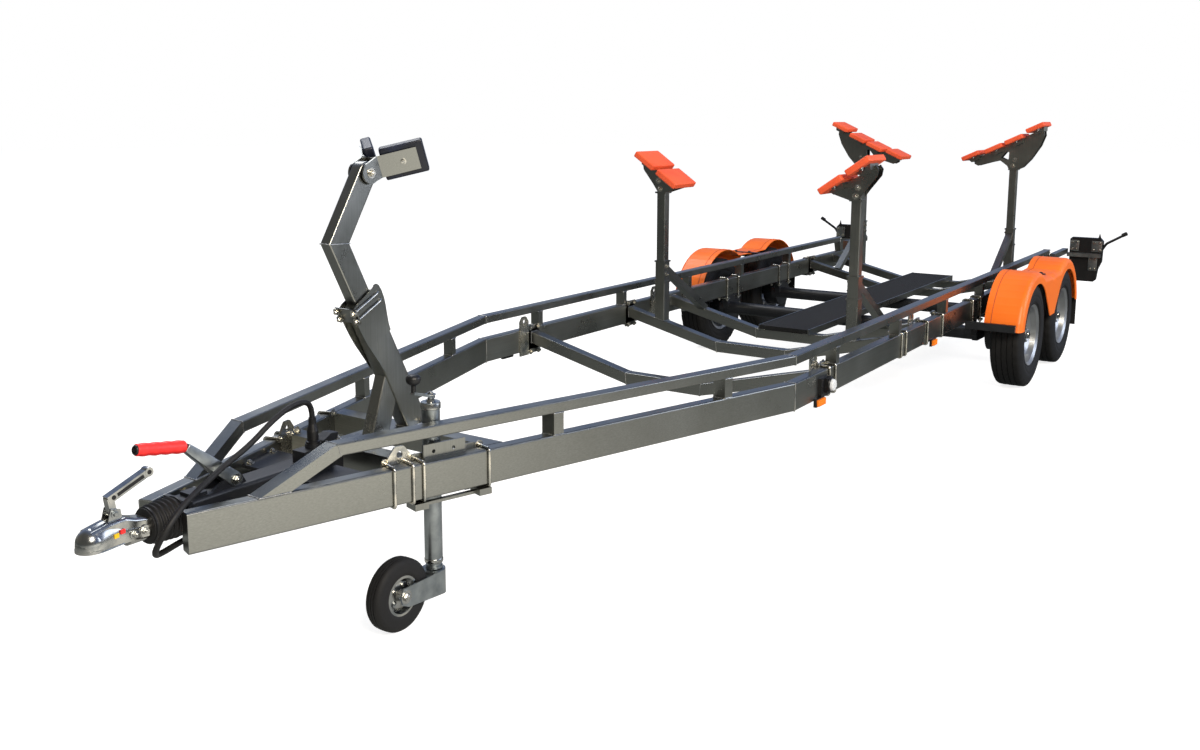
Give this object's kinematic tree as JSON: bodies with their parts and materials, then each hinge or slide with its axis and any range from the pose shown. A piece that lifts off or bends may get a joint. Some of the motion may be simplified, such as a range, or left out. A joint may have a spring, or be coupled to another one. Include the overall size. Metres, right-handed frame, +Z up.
{
  "type": "boat trailer",
  "caption": "Tandem axle boat trailer with bent side beams, guard rails, padded hull posts, winch post with bow stop, overrun coupling and jockey wheel.",
  "frame": {"origin": "middle of the overall length and width, on the ground", "axes": "+X points to the rear of the trailer, +Y to its right side, +Z up"},
  "size_m": [8.111, 2.5796, 1.6303],
  "materials": {
    "stainless": "satin folded stainless sheet and tube",
    "zinc_steel": "zinc plated steel",
    "black_steel": "satin black paint",
    "silver_rim": "silver painted pressed steel",
    "tyre_rubber": "black tyre rubber",
    "black_rubber": "soft black rubber",
    "navy_rubber": "dark blue black soft rubber",
    "red_rubber": "orange red soft rubber",
    "orange_plastic": "orange moulded plastic with a slight gloss",
    "red_plastic": "red moulded grip",
    "black_plastic": "black moulded plastic",
    "amber_lens": "clear coloured lamp lens",
    "carpet": "black ribbed carpet on board"
  },
  "bodies": {
    "chassis": {"axle_front": "black_steel", "axle_rear": "black_steel", "beam_clamps_left": "zinc_steel", "beam_clamps_right": "zinc_steel", "brake_grip": "red_plastic", "brake_lever": "zinc_steel", "coupling_head": "zinc_steel", "cross_member_1": "stainless", "cross_member_2": "stainless", "cross_member_3": "stainless", "cross_member_4": "stainless", "cross_member_5": "stainless", "drawbar_bellows": "black_rubber", "fender_left": "orange_plastic", "fender_right": "orange_plastic", "fender_stays_left": "stainless", "fender_stays_right": "stainless", "guard_rail_left": "stainless", "guard_rail_right": "stainless", "hull_pads_front": "red_rubber", "hull_pads_rear": "red_rubber", "hull_posts_front": "stainless", "hull_posts_rear": "stainless", "jockey_bracket": "zinc_steel", "jockey_knob": "black_plastic", "jockey_tube": "zinc_steel", "lamp_seats_left": "black_plastic", "lamp_seats_right": "black_plastic", "mud_flap_left": "black_rubber", "mud_flap_right": "black_rubber", "overrun_housing": "black_steel", "plug_cable": "black_rubber", "post_base": "stainless", "side_beam_left": "stainless", "side_beam_right": "stainless", "side_lamps_left": "amber_lens", "side_lamps_right": "amber_lens", "tail_board_left": "black_steel", "tail_board_right": "black_steel", "tail_lamps_left": "amber_lens", "tail_lamps_right": "amber_lens", "trailer_plug": "black_plastic", "walkway_deck": "carpet", "walkway_frame": "stainless", "winch_post_lower": "stainless", "winch_post_upper": "stainless"},
    "wheel_front_left": {"tyre_front_left": "tyre_rubber", "rim_front_left": "silver_rim"},
    "wheel_front_right": {"tyre_front_right": "tyre_rubber", "rim_front_right": "silver_rim"},
    "wheel_rear_left": {"tyre_rear_left": "tyre_rubber", "rim_rear_left": "silver_rim"},
    "wheel_rear_right": {"tyre_rear_right": "tyre_rubber", "rim_rear_right": "silver_rim"},
    "bow_stop": {"bow_stop_bracket": "stainless", "bow_stop_pads": "navy_rubber"},
    "jockey_slider": {"jockey_leg": "zinc_steel"},
    "jockey_swivel": {"jockey_fork": "zinc_steel"},
    "jockey_wheel": {"jockey_tyre": "tyre_rubber", "jockey_rim": "silver_rim"}
  },
  "joints": [
    {"name": "wheel_front_left_spin", "type": "hinge", "parent": "chassis", "child": "wheel_front_left", "pos_m": [1.5125, -1.074, 0.325], "axis": [0, 1, 0], "continuous": true},
    {"name": "wheel_front_right_spin", "type": "hinge", "parent": "chassis", "child": "wheel_front_right", "pos_m": [1.5125, 1.074, 0.325], "axis": [0, 1, 0], "continuous": true},
    {"name": "wheel_rear_left_spin", "type": "hinge", "parent": "chassis", "child": "wheel_rear_left", "pos_m": [2.3645, -1.074, 0.325], "axis": [0, 1, 0], "continuous": true},
    {"name": "wheel_rear_right_spin", "type": "hinge", "parent": "chassis", "child": "wheel_rear_right", "pos_m": [2.3645, 1.074, 0.325], "axis": [0, 1, 0], "continuous": true},
    {"name": "bow_stop_tilt", "type": "hinge", "parent": "chassis", "child": "bow_stop", "pos_m": [-2.9745, 0, 1.46], "axis": [0, 1, 0], "range_deg": [-20, 20]},
    {"name": "jockey_slide", "type": "slide", "parent": "chassis", "child": "jockey_slider", "axis": [0, 0, -1], "range_m": [0, 0.2]},
    {"name": "jockey_steer", "type": "hinge", "parent": "jockey_slider", "child": "jockey_swivel", "pos_m": [-2.9765, -0.2795, 0.15], "axis": [0, 0, 1], "continuous": true},
    {"name": "jockey_roll", "type": "hinge", "parent": "jockey_swivel", "child": "jockey_wheel", "pos_m": [-3.1525, -0.2795, 0.12], "axis": [0, 1, 0], "continuous": true}
  ]
}
